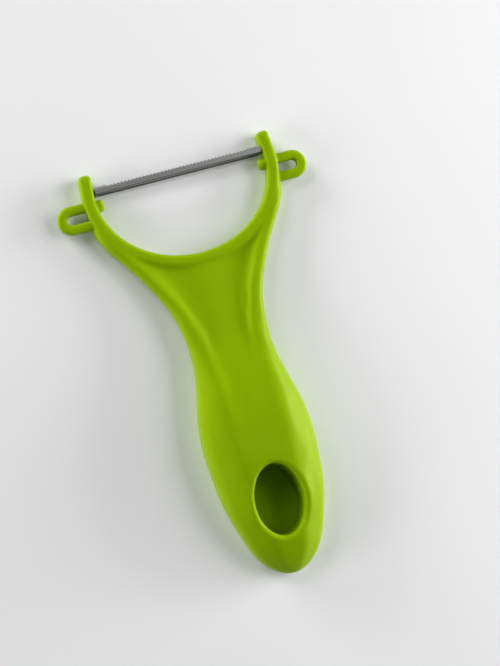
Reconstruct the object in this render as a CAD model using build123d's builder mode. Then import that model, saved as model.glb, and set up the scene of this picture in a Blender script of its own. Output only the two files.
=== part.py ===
from build123d import *
import os

# A vegetable peeler with a bow-shaped head, a swivelling toothed blade and two potato eyes.
# It lies on its back with its front up: +Z is up, +Y runs towards the blade, X runs across.
# The origin is in the middle of its box, on the plane that it lies on. Lengths are in mm.

# Overall sizes
handle_reach = 126.0
tip_reach = 5.2
head_width = 60.8
neck_width = 24.8
handle_width = 33.7
handle_height = 14.2
neck_height = 9.6

# The bow, which is the arms and the edge of the gap between them
arm_width = 3.7
arm_height = 5.5
arm_round = 1.2
tip_round = 1.25
tip_length = 4.0
bow_width = 57.6
bow_depth = 24.8
bow_centre_reach = 3.0
arm_lean_angle = 4.5
back_trim = 0.3
bow_blend = 1.6

# The front of the yoke and the handle
dish_depth = 1.3
rim_round = 2.2
foot_round = 2.0
rim_bead = 2.4

# The potato eyes, and the stop pegs that limit the blade
eye_bar = 2.9
eye_height = 3.2
eye_round = 0.9
eye_length = 8.85
eye_gap = 2.8
eye_reach = 6.8
eye_root_share = 0.125
peg_diameter = 3.8
peg_reach = 4.5
peg_length = 2.3
peg_round = 1.0

# The hollow of the handle, its hole and the cover behind it
skin = 2.4
side_wall = 2.4
cover_inset = 3.2
cover_start_bulge = 7.3
cover_end_bulge = 8.5
cover_corner = 4.0
cover_thickness = 2.2
cover_clearance = 0.1
ledge = 1.2
hole_width = 15.0
hole_length = 21.6
hole_from_cover_end = 12.6
hole_round = 1.25
collar_wall = 1.8
collar_gap = 0.3

# The blade and its pivot pins
blade_end_gap = 0.45
blade_width = 4.6
blade_crown = 1.3
blade_leg = 1.3
blade_steel = 0.6
blade_bend = 1.1
blade_end_round = 1.3
blade_end = 3.6
tooth_pitch = 1.15
tooth_depth = 0.45
tooth_line = 0.8
tooth_gap_share = 0.8
pin_diameter = 1.2
pin_running_clearance = 0.05
pin_depth = 2.6
pin_inside = 1.0
pin_chamfer = 0.2

# One overrun for all cuts, how close an edge lies to the place that it is looked for at, the
# middle of an edge, and how steep an edge may be to count as level
overrun = 5.0
near = 0.001
middle_share = 0.5
level_share = 0.5

# Places that follow from the sizes
pivot_y = (handle_reach - tip_reach) / 2
arm_mid = arm_height / 2
bow_y = pivot_y - bow_centre_reach
bow_height = arm_height + back_trim
bow_middle = (arm_height - back_trim) / 2
peg_y = pivot_y - peg_reach
peg_end_x = bow_width / 2 - arm_width / 2 - peg_length
eye_end_x = bow_width / 2 + arm_width / 2 + eye_length

# Stations from the arms to the end of the handle. Each row starts with the reach, as a share
# of handle_reach. Then come the shares of the head, neck and handle widths, the shares of the
# arm, neck and handle heights, and the share of the dish. The last two are how far the corners
# reach in from the sides, and how far the back is lifted.
station_shares = (
    (0.056, 0.960, 0.040, 0.000, 0.92, 0.00, 0.000, 0.00, 0.00, 0.00),
    (0.112, 0.940, 0.060, 0.000, 0.96, 0.00, 0.000, 0.00, 0.00, 0.02),
    (0.152, 0.798, 0.202, 0.000, 1.00, 0.00, 0.000, 0.15, 0.00, 0.05),
    (0.195, 0.598, 0.402, 0.000, 1.03, 0.00, 0.000, 0.42, 0.00, 0.09),
    (0.243, 0.396, 0.604, 0.000, 0.98, 0.08, 0.000, 0.68, 0.00, 0.14),
    (0.299, 0.198, 0.802, 0.000, 0.80, 0.26, 0.000, 0.85, 0.01, 0.18),
    (0.367, 0.052, 0.948, 0.000, 0.43, 0.60, 0.000, 0.85, 0.06, 0.20),
    (0.443, 0.000, 1.000, 0.000, 0.00, 1.00, 0.000, 0.65, 0.16, 0.15),
    (0.518, 0.000, 0.745, 0.255, 0.00, 0.66, 0.370, 0.38, 0.32, 0.04),
    (0.598, 0.000, 0.220, 0.780, 0.00, 0.26, 0.760, 0.14, 0.48, 0.00),
    (0.686, 0.000, 0.000, 1.000, 0.00, 0.00, 1.000, 0.00, 0.56, 0.00),
    (0.774, 0.000, 0.000, 0.955, 0.00, 0.00, 0.990, 0.00, 0.60, 0.00),
    (0.853, 0.000, 0.000, 0.836, 0.00, 0.00, 0.915, 0.00, 0.62, 0.00),
    (0.917, 0.000, 0.000, 0.684, 0.00, 0.00, 0.765, 0.00, 0.64, 0.00),
    (0.961, 0.000, 0.000, 0.508, 0.00, 0.00, 0.600, 0.00, 0.66, 0.04),
    (0.985, 0.000, 0.000, 0.325, 0.00, 0.00, 0.460, 0.00, 0.70, 0.12),
    (0.996, 0.000, 0.000, 0.180, 0.00, 0.00, 0.375, 0.00, 0.72, 0.18),
    (1.000, 0.000, 0.000, 0.080, 0.00, 0.00, 0.320, 0.00, 0.72, 0.22),
)
top_corner_share = 0.42
top_corner_gain_share = 0.20
top_corner_limit_share = 0.80
slope_reach_share = 0.62
slope_fall_share = 0.21
slope_gain_share = 0.20
foot_corner_share = 0.30
foot_corner_limit_share = 0.40
dish_flank_share = 0.85
dish_flank_limit_share = 0.40

# The cover's ends on the middle line, and the hole's middle
cover_rows = station_shares[9:13]
cover_start_y = pivot_y - cover_rows[0][0] * handle_reach + cover_start_bulge
cover_end_y = pivot_y - cover_rows[-1][0] * handle_reach - cover_end_bulge
hole_y = cover_end_y + hole_from_cover_end


def station_half_width(row):
    """Half of the body's width at one row of the station table."""
    head, neck, handle = row[1:4]
    return (head * head_width + neck * neck_width + handle * handle_width) / 2


def body_section(row, inset=0.0, drop=0.0, deepening=0.0):
    """The outline across the body at one station.

    It can be drawn in by inset, with its top lowered by drop and its back by deepening.
    """
    reach = row[0] * handle_reach
    arm, neck, handle, dish, corner, lift = row[4:]
    half_width = station_half_width(row) - inset
    shoulder = arm * arm_height + neck * neck_height + handle * handle_height - drop
    middle = shoulder - dish * dish_depth
    back = lift * handle_height - back_trim - deepening
    height = shoulder - back
    top_width = rim_round + corner * (half_width - rim_round)
    top_width = min(top_width, top_corner_limit_share * half_width)
    top_fall = (top_corner_share + top_corner_gain_share * corner) * height
    foot_rise = foot_corner_share * height
    foot_width = min(foot_round, foot_corner_limit_share * half_width)
    top_half = half_width - top_width
    foot_half = half_width - foot_width
    top_start = shoulder - top_fall
    slope_fall = (slope_fall_share + slope_gain_share * corner) * top_fall
    slope_height = shoulder - slope_fall
    foot_end = back + foot_rise
    flank = top_half - min(rim_bead, dish_flank_limit_share * top_half)
    flank_height = shoulder - dish_flank_share * dish * dish_depth
    with BuildSketch(Plane.XZ.offset(reach - pivot_y)) as section:
        with BuildLine():
            Spline(
                (-top_half, shoulder),
                (-flank, flank_height),
                (0, middle),
                (flank, flank_height),
                (top_half, shoulder),
                tangents=((1, 0), (1, 0)),
            )
            Spline(
                (top_half, shoulder),
                (top_half + slope_reach_share * top_width, slope_height),
                (half_width, top_start),
                tangents=((1, 0), (0, -1)),
            )
            Line((half_width, top_start), (half_width, foot_end))
            EllipticalCenterArc((foot_half, foot_end), foot_width, foot_rise, 270, arc_size=90)
            Line((foot_half, back), (-foot_half, back))
            EllipticalCenterArc((-foot_half, foot_end), foot_width, foot_rise, 180, arc_size=90)
            Line((-half_width, foot_end), (-half_width, top_start))
            Spline(
                (-half_width, top_start),
                (-top_half - slope_reach_share * top_width, slope_height),
                (-top_half, shoulder),
                tangents=((0, 1), (1, 0)),
            )
        make_face()
    return section.sketch


def cover_outline(inset):
    """The outline of the cover on the back of the handle, drawn in by inset."""
    side_points = [
        (station_half_width(row) - cover_inset - inset, pivot_y - row[0] * handle_reach)
        for row in cover_rows
    ]
    mirrored_points = [(-x, y) for x, y in side_points]
    start = (0, cover_start_y - inset)
    end = (0, cover_end_y + inset)
    with BuildSketch() as outline:
        with BuildLine():
            Spline(*side_points)
            Spline(*mirrored_points)
            ThreePointArc(mirrored_points[0], start, side_points[0])
            ThreePointArc(mirrored_points[-1], end, side_points[-1])
        make_face()
        fillet(outline.vertices().group_by(Axis.Y)[-1], cover_corner - inset)
    return outline.sketch


def is_on_front_rim(edge):
    """True for the edges that run around the oval hole on the front of the handle."""
    place = edge.center()
    across = place.X / (hole_width / 2)
    along = (place.Y - hole_y) / (hole_length / 2)
    on_hole = abs(across**2 + along**2 - 1) < near
    return on_hole and place.Z > handle_height / 2 and abs((edge % middle_share).Z) < level_share


def is_beside_bow(edge):
    """True for the long edges where the bow's outer side meets the dish and the rims."""
    place = edge.center()
    across = place.X / (bow_width / 2)
    along = (place.Y - bow_y) / bow_depth
    spread = (across**2 + along**2) ** 0.5
    outside = (spread - 1) / spread * (place.X**2 + (place.Y - bow_y) ** 2) ** 0.5
    beside = 0 < outside < arm_width and place.Y < bow_y and place.Z > arm_mid
    return beside and edge.length > arm_width


# The bow's middle line: an arc of an ellipse and a straight run up each arm
with BuildLine(Plane.XY.offset(arm_mid)) as bow_line:
    bow_arc = EllipticalCenterArc(
        (0, bow_y),
        bow_width / 2,
        bow_depth,
        180 - arm_lean_angle,
        arc_size=180 + 2 * arm_lean_angle,
    )
    arm_direction = bow_arc % 1
    arm_run = (pivot_y + tip_reach - (bow_arc @ 1).Y) / arm_direction.Y - tip_round
    left_tip = bow_arc @ 0 - bow_arc % 0 * arm_run
    right_tip = bow_arc @ 1 + arm_direction * arm_run
    Line(left_tip, bow_arc @ 0)
    Line(bow_arc @ 1, right_tip)

# The arms' inner faces at the pivot, where the blade and its pins go
arm_slope = arm_direction.X / arm_direction.Y
arm_centre_x = (bow_arc @ 1).X + arm_slope * (pivot_y - (bow_arc @ 1).Y)
arm_face_x = arm_centre_x - arm_width / 2 * (1 + arm_slope**2) ** 0.5
blade_half = arm_face_x - blade_end_gap
slot_half = blade_half - blade_end
tooth_gap = tooth_gap_share * tooth_pitch
tooth_count = int(2 * slot_half / tooth_pitch)

arm_plane = Plane(left_tip, x_dir=Vector(0, 0, 1).cross(bow_arc % 0), z_dir=bow_arc % 0)
with BuildSketch(arm_plane) as arm_section:
    with Locations((0, bow_middle - arm_mid)):
        RectangleRounded(arm_width, bow_height, arm_round)

# One blunt arm tip, on the right
tip_middle = right_tip + arm_direction * (tip_round - tip_length / 2)
tip_plane = Plane((tip_middle.X, tip_middle.Y, -back_trim), x_dir=arm_direction, z_dir=(0, 0, 1))
with BuildPart() as arm_tip:
    with BuildSketch(tip_plane):
        RectangleRounded(tip_length, arm_width, tip_round)
    extrude(amount=bow_height)
    fillet(arm_tip.edges().group_by(Axis.Z)[-1], arm_round)
    fillet(arm_tip.edges().group_by(Axis.Z)[0], arm_round)

with BuildPart() as bow:
    sweep(sections=arm_section.sketch, path=bow_line.wire())
    add(arm_tip.part)
    mirror(arm_tip.part, about=Plane.YZ)

# One potato eye, on the right
eye_radius = (eye_gap + eye_bar) / 2
eye_turn_x = eye_end_x - eye_bar / 2 - eye_radius
eye_root_x = bow_width / 2 - eye_root_share * arm_width
eye_y = pivot_y - eye_reach
with BuildLine(Plane.XY.offset(arm_mid)) as eye_line:
    Line((eye_root_x, eye_y + eye_radius), (eye_turn_x, eye_y + eye_radius))
    CenterArc((eye_turn_x, eye_y), eye_radius, 90, -180)
    Line((eye_turn_x, eye_y - eye_radius), (eye_root_x, eye_y - eye_radius))

eye_plane = Plane((eye_root_x, eye_y + eye_radius, arm_mid), x_dir=(0, 1, 0), z_dir=(1, 0, 0))
with BuildSketch(eye_plane) as eye_section:
    RectangleRounded(eye_bar, eye_height, eye_round)

with BuildPart() as eye:
    sweep(sections=eye_section.sketch, path=eye_line.wire())

# The hollow of the handle, from the back
with BuildPart() as hollow:
    loft(sections=[body_section(row, side_wall, skin, overrun) for row in station_shares[7:16]])
    add(extrude(cover_outline(ledge), amount=handle_height, mode=Mode.PRIVATE), mode=Mode.INTERSECT)
    with BuildSketch(Plane.XY.offset(cover_thickness + collar_gap)):
        with Locations((0, hole_y)):
            Ellipse(hole_width / 2 + collar_wall, hole_length / 2 + collar_wall)
    extrude(amount=handle_height, mode=Mode.SUBTRACT)

# Frame: body, bow, eyes and stop pegs in one moulding
with BuildPart() as frame:
    loft(sections=[body_section(row) for row in station_shares])
    with BuildSketch(Plane.XY.offset(-overrun)):
        with Locations((0, bow_y)):
            Ellipse(bow_width / 2, bow_depth)
    extrude(amount=handle_height + 2 * overrun, mode=Mode.SUBTRACT)
    with BuildSketch(Plane.XY.offset(-overrun)):
        with Locations((0, hole_y)):
            Ellipse(hole_width / 2, hole_length / 2)
    extrude(amount=handle_height + 2 * overrun, mode=Mode.SUBTRACT)
    fillet(frame.edges().filter_by(is_on_front_rim), hole_round)
    add(bow.part)
    fillet(frame.edges().filter_by(is_beside_bow), bow_blend)
    add(eye.part)
    mirror(eye.part, about=Plane.YZ)
    for side in (-1, 1):
        peg_root = (side * bow_width / 2, peg_y, arm_mid)
        peg_plane = Plane(peg_root, x_dir=(0, 1, 0), z_dir=(-side, 0, 0))
        with BuildSketch(peg_plane):
            Circle(peg_diameter / 2)
        extrude(amount=arm_width / 2 + peg_length)
    peg_ends = frame.edges().filter_by(GeomType.CIRCLE)
    peg_ends = peg_ends.filter_by(lambda edge: abs(abs(edge.center().X) - peg_end_x) < near)
    fillet(peg_ends, peg_round)
    for side in (-1, 1):
        with BuildSketch(Plane.YZ.offset(side * blade_half)):
            with Locations((pivot_y, arm_mid)):
                Circle(pin_diameter / 2)
        extrude(amount=side * (blade_end_gap + pin_depth), mode=Mode.SUBTRACT)
    split(bisect_by=Plane.XY, keep=Keep.TOP)
    add(hollow.part, mode=Mode.SUBTRACT)
    extrude(cover_outline(0), amount=cover_thickness, mode=Mode.SUBTRACT)

# Cover: a plate let into the back of the handle
with BuildPart() as back_cover:
    extrude(cover_outline(cover_clearance), amount=cover_thickness)

# Blade: a steel strip pressed to a channel, open towards the handle, with closed ends
blade_height = blade_crown + blade_leg
blade_middle_y = pivot_y + (blade_crown - blade_leg) / 2
with BuildPart() as blade:
    with BuildSketch(Plane.YZ.offset(-blade_half)):
        with Locations((blade_middle_y, arm_mid)):
            outer = Rectangle(blade_height, blade_width)
        fillet(outer.vertices().group_by(Axis.Y)[-1], blade_bend)
    extrude(amount=2 * blade_half)
    with BuildSketch(Plane.YZ.offset(-(blade_half - blade_steel))):
        with Locations((blade_middle_y - blade_steel, arm_mid)):
            inner = Rectangle(blade_height, blade_width - 2 * blade_steel)
        fillet(inner.vertices().group_by(Axis.Y)[-1], blade_bend - blade_steel)
    extrude(amount=2 * (blade_half - blade_steel), mode=Mode.SUBTRACT)
    with BuildSketch(Plane.XY.offset(-overrun)):
        with Locations((0, blade_middle_y)):
            end_outline = Rectangle(2 * blade_half, blade_height)
        fillet(end_outline.vertices().group_by(Axis.Y)[-1], blade_end_round)
    extrude(amount=handle_height + 2 * overrun, mode=Mode.INTERSECT)
    with Locations((0, pivot_y + tooth_line + overrun / 2, arm_mid)):
        Box(2 * slot_half, overrun, blade_width + overrun, mode=Mode.SUBTRACT)
    with Locations((0, pivot_y + overrun / 2, arm_mid)):
        Box(2 * slot_half, overrun, blade_width - 2 * blade_steel, mode=Mode.SUBTRACT)
    with BuildSketch(Plane.XY.offset(arm_mid)):
        with GridLocations(tooth_pitch, 0, tooth_count, 1):
            with Locations((0, pivot_y + tooth_line)):
                Polygon(
                    (-tooth_gap / 2, 0), (tooth_gap / 2, 0), (0, -tooth_depth), align=None,
                )
    extrude(amount=blade_width, mode=Mode.SUBTRACT)
    with BuildSketch(Plane.YZ.offset(-blade_half - overrun)):
        with Locations((pivot_y, arm_mid)):
            Circle(pin_diameter / 2 + pin_running_clearance)
    extrude(amount=2 * (blade_half + overrun), mode=Mode.SUBTRACT)

# Pins: pressed into the arms, with the blade's end walls turning on them
pins = []
for side, side_name in ((-1, "left"), (1, "right")):
    with BuildPart() as pivot_pin:
        with BuildSketch(Plane.YZ.offset(side * (blade_half - pin_inside))):
            with Locations((pivot_y, arm_mid)):
                Circle(pin_diameter / 2)
        extrude(amount=side * (pin_inside + blade_end_gap + pin_depth))
        chamfer(pivot_pin.edges().filter_by(GeomType.CIRCLE), pin_chamfer)
    pivot_pin.part.label = "pivot_pin_" + side_name
    pins.append(pivot_pin)

frame.part.label = "frame"
back_cover.part.label = "back_cover"
blade.part.label = "blade"

os.makedirs("parts", exist_ok=True)
export_step(frame.part, "parts/frame.step")
export_step(back_cover.part, "parts/back_cover.step")
export_step(blade.part, "parts/blade.step")
for pivot_pin in pins:
    export_step(pivot_pin.part, "parts/" + pivot_pin.part.label + ".step")
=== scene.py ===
import math

import bpy
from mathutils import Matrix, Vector


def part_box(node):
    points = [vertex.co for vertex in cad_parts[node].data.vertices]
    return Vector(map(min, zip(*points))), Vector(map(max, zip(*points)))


# A vegetable peeler that lies on its back on a pale table, seen from above.
# Lengths are in metres, turns in degrees, the powers of lamps in watts.
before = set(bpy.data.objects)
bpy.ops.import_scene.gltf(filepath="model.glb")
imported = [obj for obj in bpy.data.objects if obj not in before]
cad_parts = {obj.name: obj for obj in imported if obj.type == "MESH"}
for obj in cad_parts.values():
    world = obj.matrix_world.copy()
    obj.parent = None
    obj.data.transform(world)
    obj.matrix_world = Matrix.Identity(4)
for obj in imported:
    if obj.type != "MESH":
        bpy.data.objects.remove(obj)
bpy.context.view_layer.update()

# The lime-green plastic: its gloss, and the light that passes under its surface
plastic_ior = 1.49
plastic_gloss_level = 0.16
plastic_gloss_tint = (1.0, 0.95, 0.0, 1.0)
plastic_glow_share = 0.40
plastic_glow_spread = (0.8, 1.0, 0.05)
plastic_glow_depth = 0.002
plastic_roughness = (0.34, 0.42)
flow_stretch = (1.0, 0.35, 1.0)
flow_scale = 60.0
handling_scale = 220.0
handling_fineness = 0.6
sink_scale = 90.0
sink_depth = 0.0006
grain_scale = 3200.0
grain_depth = 0.00005
relief_strength = 0.10
edge_samples = 8

# The steel: its drawing marks, and painted shade along the lower edge of the blade
steel_roughness = (0.50, 0.36)
marks_scale = 900.0
marks_fineness = 0.65
marks_strength = 0.25
marks_depth = 0.00003
painted_shade_tone = 0.30
painted_shade_reach = 0.00055

# The table, the lamps, the room and the camera. The walls look pale up to wall_top and fade
# up to ceiling_edge, both as the height of a direction that is 1 long.
table_size = 3.0
table_roughness = 0.65
table_tone_scale = 6.0
lamp_width = 0.55
lamp_height = 0.30
room_light = 0.06
wall_tone = 0.80
wall_top = 0.25
ceiling_edge = 0.60
camera_place = (-0.0894, -0.0122, 0.4466)
camera_turn = (5.826, -11.120, -16.670)
camera_sensor_mm = 36.0
camera_lens_mm = 81.08
camera_nearest = 0.01

even = (1.0, 1.0, 1.0)


def add_node(material, kind, **options):
    """Adds a shader node to a material and sets its options."""
    node = material.node_tree.nodes.new(kind)
    for name, value in options.items():
        setattr(node, name, value)
    return node


def set_inputs(node, values):
    """Sets the named inputs of a node."""
    for name, value in values.items():
        node.inputs[name].default_value = value


def link(material, source, output, target, socket):
    """Joins an output of one node to an input of another."""
    material.node_tree.links.new(source.outputs[output], target.inputs[socket])


def object_noise(material, stretch, scale, detail, fineness=0.5):
    """A noise texture on Object coordinates, stretched along the axes."""
    place = add_node(material, "ShaderNodeTexCoord")
    mapping = add_node(material, "ShaderNodeMapping")
    noise = add_node(material, "ShaderNodeTexNoise")
    set_inputs(mapping, {"Scale": stretch})
    set_inputs(noise, {"Scale": scale, "Detail": detail, "Roughness": fineness})
    link(material, place, "Object", mapping, "Vector")
    link(material, mapping, "Vector", noise, "Vector")
    return noise


def ramp(material, source, stops):
    """A colour ramp on a noise, with the given places and grey levels or colours."""
    node = add_node(material, "ShaderNodeValToRGB")
    for element, (place, colour) in zip(node.color_ramp.elements, stops):
        if isinstance(colour, float):
            colour = (colour, colour, colour)
        element.position = place
        element.color = (*colour, 1.0)
    link(material, source, "Fac", node, "Fac")
    return node


def relief(material, source, strength, depth, under=None):
    """A bump from a noise, laid over another node's normal where one is given."""
    bump = add_node(material, "ShaderNodeBump")
    set_inputs(bump, {"Strength": strength, "Distance": depth})
    link(material, source, "Fac", bump, "Height")
    if under is not None:
        link(material, under, "Normal", bump, "Normal")
    return bump


def new_material(name):
    """An empty node material with its Principled shader."""
    material = bpy.data.materials.new(name)
    material.use_nodes = True
    return material, material.node_tree.nodes["Principled BSDF"]


def moulded_plastic(name, pale, deep, edge_round):
    """Lime-green moulded plastic: slight flow marks, a fine satin grain and soft edges."""
    material, shader = new_material(name)
    set_inputs(shader, {
        "IOR": plastic_ior,
        "Specular IOR Level": plastic_gloss_level,
        "Specular Tint": plastic_gloss_tint,
        "Subsurface Weight": plastic_glow_share,
        "Subsurface Radius": plastic_glow_spread,
        "Subsurface Scale": plastic_glow_depth,
    })

    flow = object_noise(material, flow_stretch, flow_scale, 2.0)
    flow_colour = ramp(material, flow, [(0.35, deep), (0.65, pale)])
    link(material, flow_colour, "Color", shader, "Base Color")

    handling = object_noise(material, even, handling_scale, 4.0, handling_fineness)
    glossy, dull = plastic_roughness
    gloss = ramp(material, handling, [(0.3, glossy), (0.7, dull)])
    link(material, gloss, "Color", shader, "Roughness")

    soft_edge = add_node(material, "ShaderNodeBevel", samples=edge_samples)
    set_inputs(soft_edge, {"Radius": edge_round})
    sink = object_noise(material, even, sink_scale, 1.0)
    grain = object_noise(material, even, grain_scale, 2.0)
    sink_marks = relief(material, sink, relief_strength, sink_depth, soft_edge)
    satin = relief(material, grain, relief_strength, grain_depth, sink_marks)
    link(material, satin, "Normal", shader, "Normal")
    return material


def rolled_steel(name, bright, dull, along):
    """Stainless steel with drawing marks along one axis."""
    material, shader = new_material(name)
    set_inputs(shader, {"Metallic": 1.0})
    marks = object_noise(material, along, marks_scale, 4.0, marks_fineness)
    tone = ramp(material, marks, [(0.3, dull), (0.7, bright)])
    link(material, tone, "Color", shader, "Base Color")
    rough, smooth = steel_roughness
    gloss = ramp(material, marks, [(0.3, rough), (0.7, smooth)])
    link(material, gloss, "Color", shader, "Roughness")
    scratches = relief(material, marks, marks_strength, marks_depth)
    link(material, scratches, "Normal", shader, "Normal")
    return material


def paint_shade_on_lower_edge(material, edge):
    """Paints shade on the metal towards its lower edge, which lies at one place along Y, where the
    inside of the blade's channel lies in shadow.
    """
    place = add_node(material, "ShaderNodeTexCoord")
    parts = add_node(material, "ShaderNodeSeparateXYZ")
    link(material, place, "Object", parts, "Vector")
    # Painted shade: the metal's tone is scaled down near the lower edge and is full away from it
    rise = add_node(material, "ShaderNodeMapRange", interpolation_type="SMOOTHSTEP")
    set_inputs(rise, {
        "From Min": edge + painted_shade_reach / 2,
        "From Max": edge + painted_shade_reach,
        "To Min": painted_shade_tone,
        "To Max": 1.0,
    })
    link(material, parts, "Y", rise, "Value")
    shader = material.node_tree.nodes["Principled BSDF"]
    tone = shader.inputs["Base Color"].links[0].from_node
    shade = add_node(material, "ShaderNodeVectorMath", operation="SCALE")
    link(material, tone, "Color", shade, "Vector")
    link(material, rise, "Result", shade, "Scale")
    link(material, shade, "Vector", shader, "Base Color")


def dress(node_name, material):
    """Gives a CAD node its finished material."""
    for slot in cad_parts[node_name].material_slots:
        slot.material = material


frame_green = moulded_plastic("lime_body", (0.257, 0.420, 0.0015), (0.236, 0.390, 0.001), 0.0014)
cover_green = moulded_plastic("lime_cover", (0.245, 0.405, 0.0015), (0.225, 0.375, 0.001), 0.0003)
blade_metal = rolled_steel("blade_steel", (0.58, 0.58, 0.57), (0.38, 0.38, 0.38), (0.06, 1.0, 1.0))
pin_metal = rolled_steel("pin_steel", (0.60, 0.60, 0.60), (0.48, 0.48, 0.48), (0.3, 1.0, 1.0))

# Painted shade along the blade's lower edge, where the inside of its channel is in shadow
blade_lowest, blade_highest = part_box("blade")
paint_shade_on_lower_edge(blade_metal, blade_lowest[1])

dress("frame", frame_green)
dress("back_cover", cover_green)
dress("blade", blade_metal)
dress("pivot_pin_left", pin_metal)
dress("pivot_pin_right", pin_metal)


def lay_table():
    """A pale table top under the peeler."""
    bpy.ops.object.select_all(action="DESELECT")
    bpy.ops.mesh.primitive_plane_add(size=table_size, location=(0.0, 0.0, 0.0))
    table = bpy.context.object
    table.name = "table"
    laminate, shader = new_material("white_laminate")
    set_inputs(shader, {"Roughness": table_roughness})
    tone = object_noise(laminate, even, table_tone_scale, 2.0)
    colour = ramp(laminate, tone, [(0.3, (0.86, 0.86, 0.87)), (0.7, (0.89, 0.89, 0.90))])
    link(laminate, colour, "Color", shader, "Base Color")
    table.data.materials.append(laminate)


def soft_light(name, turn, rise, power, away=1.0):
    """An area light that faces the peeler, at a turn and a rise around it."""
    level = math.cos(math.radians(rise))
    place = away * Vector((
        level * math.cos(math.radians(turn)),
        level * math.sin(math.radians(turn)),
        math.sin(math.radians(rise)),
    ))
    bpy.ops.object.light_add(type="AREA", location=place)
    lamp = bpy.context.object
    lamp.name = name
    lamp.data.shape = "RECTANGLE"
    lamp.data.size = lamp_width
    lamp.data.size_y = lamp_height
    lamp.data.energy = power
    lamp.rotation_euler = (-place).to_track_quat("-Z", "Y").to_euler()


def light_room():
    """The room lights the peeler weakly, and looks pale around it and dark overhead."""
    room = bpy.data.worlds.new("room")
    room.use_nodes = True
    direction = add_node(room, "ShaderNodeTexCoord")
    parts = add_node(room, "ShaderNodeSeparateXYZ")
    wall = add_node(room, "ShaderNodeMapRange")
    set_inputs(wall, {
        "From Min": wall_top,
        "From Max": ceiling_edge,
        "To Min": wall_tone,
        "To Max": room_light,
    })
    link(room, direction, "Generated", parts, "Vector")
    link(room, parts, "Z", wall, "Value")

    rays = add_node(room, "ShaderNodeLightPath")
    mirrored = add_node(room, "ShaderNodeMath", operation="MAXIMUM")
    seen = add_node(room, "ShaderNodeMath", operation="MAXIMUM")
    link(room, rays, "Is Glossy Ray", mirrored, 0)
    link(room, rays, "Is Transmission Ray", mirrored, 1)
    link(room, rays, "Is Camera Ray", seen, 0)
    link(room, mirrored, "Value", seen, 1)

    strength = add_node(room, "ShaderNodeMapRange")
    background = room.node_tree.nodes["Background"]
    set_inputs(strength, {"To Min": room_light})
    set_inputs(background, {"Color": (*even, 1.0)})
    link(room, seen, "Value", strength, "Value")
    link(room, wall, "Result", strength, "To Max")
    link(room, strength, "Result", background, "Strength")
    bpy.context.scene.world = room


def place_camera():
    """The camera, above and a little to the left of the handle."""
    bpy.ops.object.camera_add(location=camera_place)
    camera = bpy.context.object
    camera.rotation_euler = [math.radians(turn) for turn in camera_turn]
    camera.data.sensor_width = camera_sensor_mm
    camera.data.lens = camera_lens_mm
    camera.data.clip_start = camera_nearest
    bpy.context.scene.camera = camera


lay_table()

# Daylight from the right, high and low, and weaker light from the far side and the left
soft_light("window_right_high", 0, 42, 1.90, away=0.65)
soft_light("window_right_low", 0, 12, 9.4)
soft_light("window_far_high", 125, 40, 2.1)
soft_light("window_far_low", 125, 12, 6.5)
soft_light("wall_left", 180, 15, 4.6)
soft_light("wall_near", 330, 12, 1.8)
light_room()

place_camera()
bpy.context.scene.view_settings.view_transform = "Standard"
